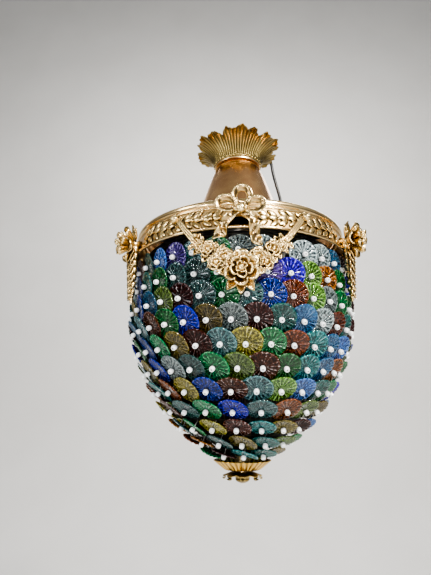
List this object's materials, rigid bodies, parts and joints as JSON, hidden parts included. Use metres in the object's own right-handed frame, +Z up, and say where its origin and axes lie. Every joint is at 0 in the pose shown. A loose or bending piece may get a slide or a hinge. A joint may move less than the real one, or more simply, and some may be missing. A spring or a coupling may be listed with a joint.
{
  "type": "hanging glass-disc lamp",
  "caption": "Hanging lantern-style lamp: egg-shaped basket of overlapping ribbed glass discs under a gilt band with bows and swags, a bell lid and a leafy crown.",
  "frame": {"origin": "centre of the hanging eye's hole, at the top of the lamp", "axes": "+Z up along the stem, -Y towards the front bow, the eye's hole runs along Y"},
  "size_m": [0.3096, 0.3437, 0.4991],
  "materials": {
    "glass_purple": "pressed ribbed coloured glass",
    "glass_cobalt": "pressed ribbed coloured glass",
    "glass_sky": "pressed ribbed coloured glass",
    "glass_teal": "pressed ribbed coloured glass",
    "glass_slate": "pressed ribbed coloured glass",
    "glass_green": "pressed ribbed coloured glass",
    "glass_yellow": "pressed ribbed coloured glass",
    "glass_amber": "pressed ribbed coloured glass",
    "glass_brown": "pressed ribbed coloured glass",
    "glass_amethyst": "pressed ribbed coloured glass",
    "glass_clear": "pressed ribbed coloured glass",
    "glass_lime": "pressed ribbed coloured glass",
    "bead_white": "opaque white glass",
    "polished_brass": "polished, lacquered",
    "cast_brass": "cast and gilt, dark in the recesses",
    "antique_brass": "stamped, darkened",
    "plain_brass": "turned, unlacquered",
    "steel_wire": "dull drawn wire",
    "liner_mesh": "dark wire mesh",
    "holder_black": "moulded thermoset",
    "bulb_glass": "opal glass",
    "bulb_cap": "pressed cap",
    "flex_black": "smooth black flex",
    "core_copper": "bare strands"
  },
  "bodies": {
    "hanger": {"hanging_loop": "plain_brass"},
    "lamp_frame": {"lid": "polished_brass", "rim_moulding": "polished_brass", "laurel_band": "cast_brass", "ornament_screws": "plain_brass", "frame_spider": "steel_wire", "stem_tube": "steel_wire", "neck_plate": "plain_brass", "crown_bead_ring": "antique_brass", "crown_cup": "antique_brass", "ribbon_bows": "cast_brass", "rose_swags": "cast_brass", "swag_knobs": "cast_brass", "standing_roses": "cast_brass", "upright_leaves": "cast_brass", "leaf_drops": "cast_brass", "holder_plate": "steel_wire", "inner_wires": "flex_black", "swivel_housing": "plain_brass", "cord_grip": "holder_black", "flex_cord": "flex_black", "flex_cores": "core_copper", "lampholder_1": "holder_black", "lampholder_2": "holder_black", "lampholder_3": "holder_black"},
    "basket": {"glass_purple": "glass_purple", "glass_cobalt": "glass_cobalt", "glass_sky": "glass_sky", "glass_teal": "glass_teal", "glass_slate": "glass_slate", "glass_green": "glass_green", "glass_yellow": "glass_yellow", "glass_amber": "glass_amber", "glass_brown": "glass_brown", "glass_amethyst": "glass_amethyst", "glass_clear": "glass_clear", "glass_lime": "glass_lime", "white_beads": "bead_white", "disc_pins": "steel_wire", "basket_liner": "liner_mesh", "basket_hoops": "steel_wire", "basket_ribs": "steel_wire", "basket_ring": "steel_wire", "bottom_cup": "polished_brass", "bottom_spacer": "plain_brass", "bottom_collar": "plain_brass", "bottom_rosette": "antique_brass"},
    "finial": {"finial_nut": "antique_brass", "finial_bush": "plain_brass"},
    "bulb_1": {"bulb_glass_1": "bulb_glass", "bulb_base_1": "bulb_cap"},
    "bulb_2": {"bulb_glass_2": "bulb_glass", "bulb_base_2": "bulb_cap"},
    "bulb_3": {"bulb_glass_3": "bulb_glass", "bulb_base_3": "bulb_cap"}
  },
  "joints": [
    {"name": "loop_swivel", "type": "hinge", "parent": "hanger", "child": "lamp_frame", "pos_m": [0, 0, -0.036], "axis": [0, 0, 1], "continuous": true},
    {"name": "basket_lower", "type": "slide", "parent": "lamp_frame", "child": "basket", "axis": [0, 0, -1], "range_m": [0, 0.26]},
    {"name": "finial_turn", "type": "hinge", "parent": "basket", "child": "finial", "pos_m": [0, 0, -0.48], "axis": [0, 0, 1], "continuous": true},
    {"name": "bulb_1_turn", "type": "hinge", "parent": "lamp_frame", "child": "bulb_1", "pos_m": [0.021, -0.03637, -0.244], "axis": [0, 0, 1], "continuous": true},
    {"name": "bulb_2_turn", "type": "hinge", "parent": "lamp_frame", "child": "bulb_2", "pos_m": [0.021, 0.03637, -0.244], "axis": [0, 0, 1], "continuous": true},
    {"name": "bulb_3_turn", "type": "hinge", "parent": "lamp_frame", "child": "bulb_3", "pos_m": [-0.042, 0, -0.244], "axis": [0, 0, 1], "continuous": true}
  ]
}
